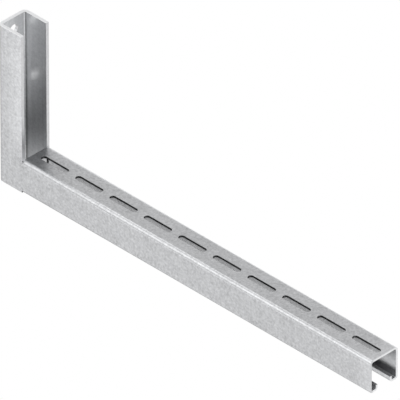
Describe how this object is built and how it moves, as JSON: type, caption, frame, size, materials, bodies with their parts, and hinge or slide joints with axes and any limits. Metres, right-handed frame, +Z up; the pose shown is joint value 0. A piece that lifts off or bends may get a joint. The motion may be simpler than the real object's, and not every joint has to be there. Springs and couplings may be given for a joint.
{
  "type": "cantilever bracket",
  "caption": "Wall bracket: an upright channel with fixing holes in its web, and a slotted lipped channel arm welded out from its foot.",
  "frame": {"origin": "on the wall face, midway between the two fixing holes", "axes": "+X out from the wall along the arm, +Y across the bracket, +Z up along the upright"},
  "size_m": [0.5385, 0.04, 0.195],
  "materials": {
    "galvanised_steel": "matt hot-dip zinc, faintly mottled, brighter on its rounded and cut edges"
  },
  "bodies": {
    "root": {"upright_channel": "galvanised_steel", "arm_channel": "galvanised_steel", "weld_seams": "galvanised_steel"}
  },
  "joints": []
}
